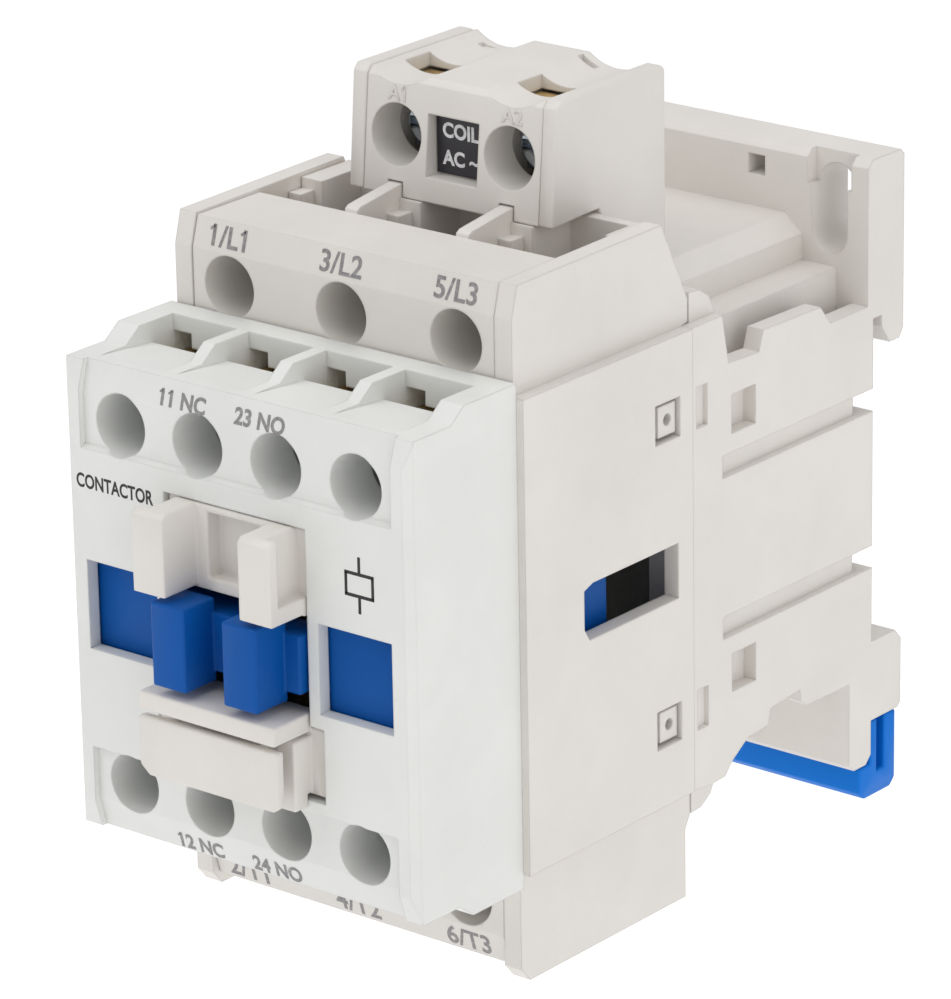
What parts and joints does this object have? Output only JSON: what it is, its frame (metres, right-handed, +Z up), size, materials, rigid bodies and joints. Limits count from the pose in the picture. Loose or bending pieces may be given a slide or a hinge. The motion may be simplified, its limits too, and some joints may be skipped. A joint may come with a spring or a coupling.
{
  "type": "din rail contactor",
  "caption": "DIN rail contactor with screw terminals above and below, front auxiliary terminals, a blue sliding contact carrier and a sprung rail clip.",
  "frame": {"origin": "centre line of the device, in the plane of the rail seat, midway between the side grooves", "axes": "+X to the right as seen from the front, +Y towards the rail and panel, +Z up"},
  "size_m": [0.045, 0.0839, 0.084],
  "materials": {
    "warm_grey": "satin moulded thermoplastic",
    "cool_grey": "satin moulded thermoplastic",
    "carrier_blue": "satin moulded thermoplastic",
    "clip_blue": "satin moulded thermoplastic",
    "label_black": "printed film",
    "bobbin_white": "moulded nylon",
    "core_steel": "stacked silicon-steel sheet, ground pole faces",
    "winding_wire": "enamelled copper wire, layered",
    "strip_brass": "pressed strip",
    "bridge_copper": "pressed copper alloy",
    "tip_silver": "brazed silver alloy",
    "screw_zinc": "zinc plated, blue passivated",
    "spring_steel": "drawn wire",
    "buffer_rubber": "moulded"
  },
  "bodies": {
    "housing": {"rear_base": "warm_grey", "middle_housing": "warm_grey", "terminal_block_upper": "warm_grey", "terminal_block_lower": "warm_grey", "coil_terminal_block": "warm_grey", "coil_cheek_left": "warm_grey", "coil_cheek_right": "warm_grey", "guide_upper": "warm_grey", "guide_lower": "warm_grey", "front_cover": "cool_grey", "rating_label": "label_black", "coil_bobbin": "bobbin_white", "fixed_core": "core_steel", "coil_winding": "winding_wire", "line_strips_upper": "strip_brass", "load_strips_lower": "strip_brass", "aux_strips_upper": "strip_brass", "aux_strips_lower": "strip_brass", "coil_leads": "strip_brass", "shading_rings": "bridge_copper", "fixed_contact_tips": "tip_silver", "main_screws_upper": "screw_zinc", "main_screws_lower": "screw_zinc", "aux_screws_upper": "screw_zinc", "aux_screws_lower": "screw_zinc", "coil_screws": "screw_zinc", "main_clamps_upper": "screw_zinc", "main_clamps_lower": "screw_zinc", "aux_clamps_upper": "screw_zinc", "aux_clamps_lower": "screw_zinc", "coil_clamps": "screw_zinc", "return_springs": "spring_steel", "rail_clip_spring": "spring_steel", "core_buffer": "buffer_rubber"},
    "carrier": {"contact_carrier": "carrier_blue", "moving_core": "core_steel", "core_pin": "screw_zinc", "contact_bridges": "bridge_copper", "bridge_contact_tips": "tip_silver", "contact_springs": "spring_steel", "aux_bridge_open": "strip_brass", "aux_bridge_closed": "strip_brass", "aux_springs": "spring_steel"},
    "clip": {"rail_clip": "clip_blue"}
  },
  "joints": [
    {"name": "carrier_slide", "type": "slide", "parent": "housing", "child": "carrier", "axis": [0, 1, 0], "range_m": [0, 0.0045], "stiffness_N_per_m": 600, "springref_m": -0.005, "deforming": ["return_springs"]},
    {"name": "clip_slide", "type": "slide", "parent": "housing", "child": "clip", "axis": [0, 0, -1], "range_m": [0, 0.004], "stiffness_N_per_m": 2500, "springref_m": -0.003, "deforming": ["rail_clip_spring"]}
  ]
}
